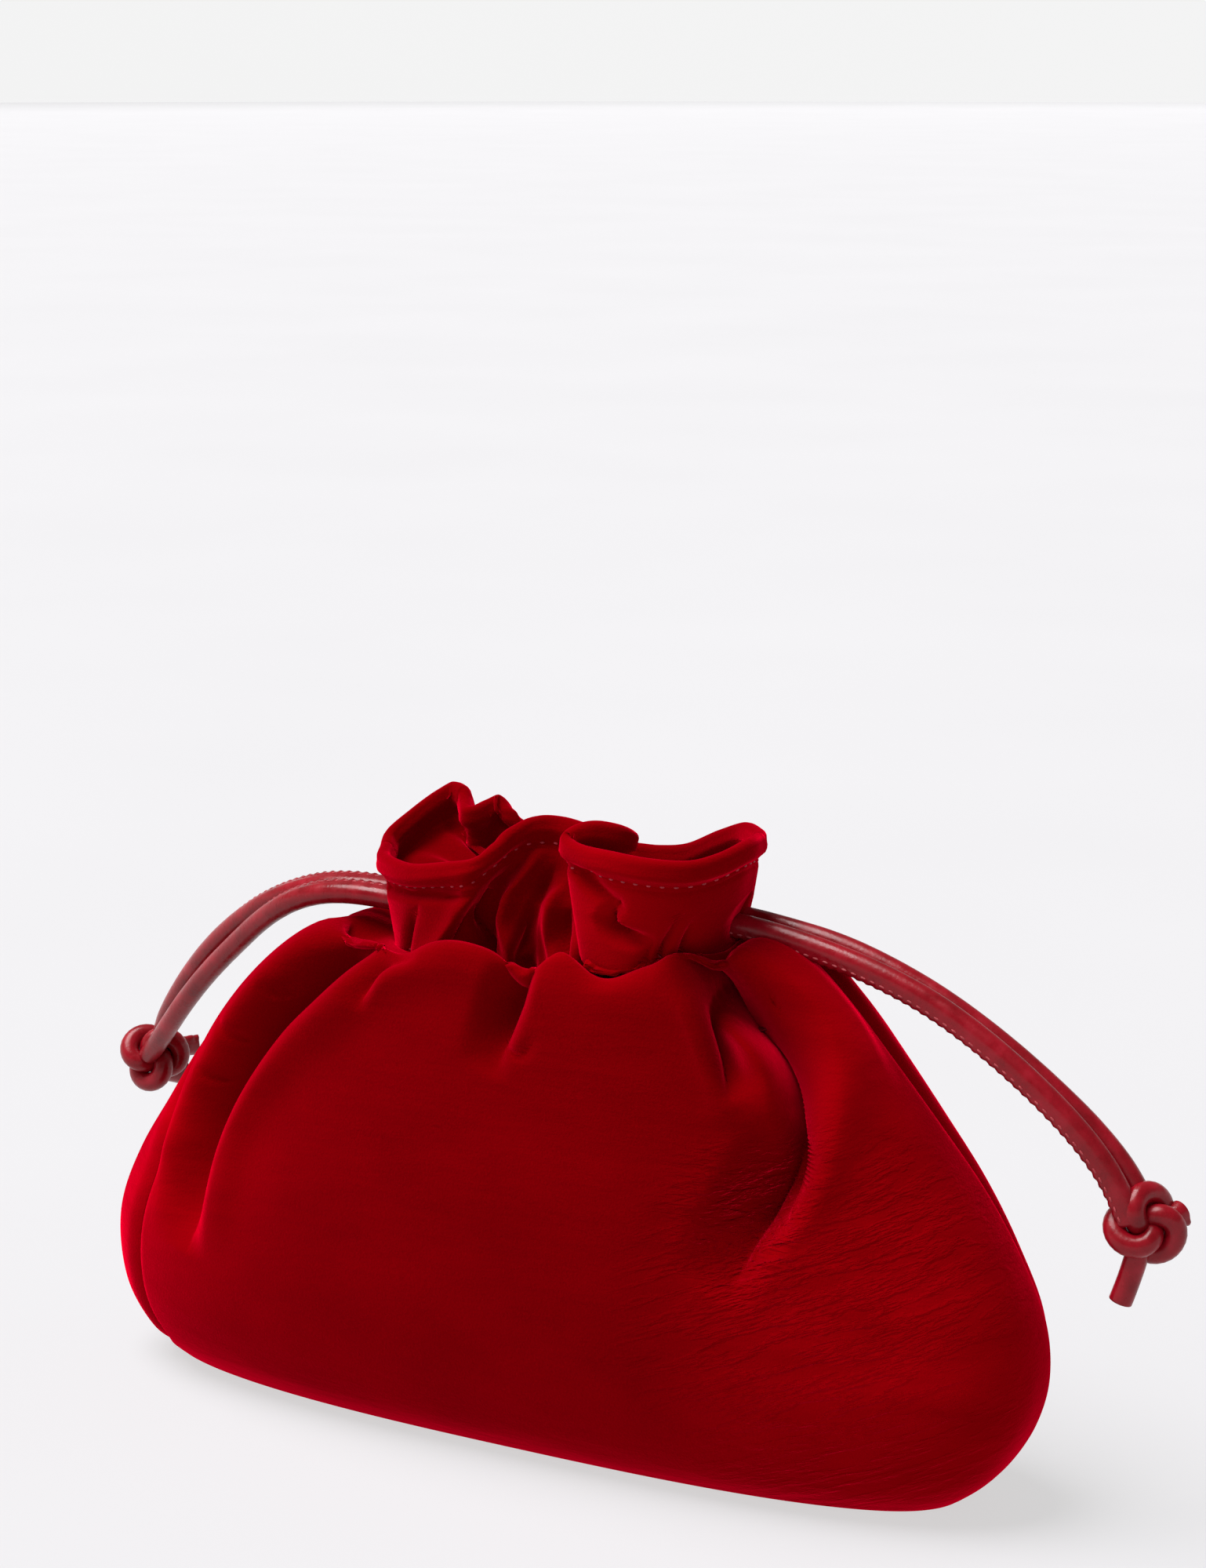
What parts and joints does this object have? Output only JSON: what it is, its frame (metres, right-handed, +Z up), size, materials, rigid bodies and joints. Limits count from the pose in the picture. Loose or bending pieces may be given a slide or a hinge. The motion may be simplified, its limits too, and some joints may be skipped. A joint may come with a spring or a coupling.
{
  "type": "drawstring gift pouch",
  "caption": "Gathered velvet gift pouch with a ruffled mouth that folds open and leather drawcords that slide in its casing and end in knots.",
  "frame": {"origin": "middle of the base, on the surface the pouch stands on", "axes": "+Z up, +X along the width of the pouch, +Y through its depth from front panel to back panel"},
  "size_m": [0.3642, 0.0988, 0.184],
  "materials": {
    "velvet": "deep red silk velvet pile",
    "lining": "plain woven satin lining",
    "thread": "twisted sewing thread",
    "leather": "smooth semi-gloss rolled leather",
    "cord_core": "cut cotton core"
  },
  "bodies": {
    "sack": {"front_panel": "velvet", "back_panel": "velvet", "front_lining": "lining", "back_lining": "lining", "front_casing": "velvet", "back_casing": "velvet", "front_casing_stitching": "thread", "back_casing_stitching": "thread"},
    "front_ruffle": {"front_ruffle": "velvet", "front_facing": "velvet", "front_rim_stitching": "thread"},
    "back_ruffle": {"back_ruffle": "velvet", "back_facing": "velvet", "back_rim_stitching": "thread"},
    "left_cord": {"left_cord_loop": "leather"},
    "left_strands": {"left_front_strand": "leather", "left_back_strand": "leather", "left_knot": "leather", "left_upper_tail": "leather", "left_lower_tail": "leather"},
    "right_cord": {"right_cord_loop": "leather"},
    "right_strands": {"right_front_strand": "leather", "right_back_strand": "leather", "right_knot": "leather", "right_lower_tail": "leather", "right_upper_tail": "leather", "right_lower_core": "cord_core", "right_upper_core": "cord_core"}
  },
  "joints": [
    {"name": "front_ruffle_fold", "type": "hinge", "parent": "sack", "child": "front_ruffle", "pos_m": [0, -0.0225, 0.16], "axis": [1, 0, 0], "range_deg": [0, 40]},
    {"name": "back_ruffle_fold", "type": "hinge", "parent": "sack", "child": "back_ruffle", "pos_m": [0, 0.0225, 0.16], "axis": [-1, 0, 0], "range_deg": [0, 40]},
    {"name": "left_cord_slide", "type": "slide", "parent": "sack", "child": "left_cord", "axis": [-1, 0, 0], "range_m": [-0.008, 0.004]},
    {"name": "left_cord_lift", "type": "hinge", "parent": "left_cord", "child": "left_strands", "pos_m": [-0.07, 0, 0.1472], "axis": [0, 1, 0], "range_deg": [0, 40]},
    {"name": "right_cord_slide", "type": "slide", "parent": "sack", "child": "right_cord", "axis": [1, 0, 0], "range_m": [-0.008, 0.004]},
    {"name": "right_cord_lift", "type": "hinge", "parent": "right_cord", "child": "right_strands", "pos_m": [0.07, 0, 0.1543], "axis": [0, -1, 0], "range_deg": [0, 40]}
  ]
}
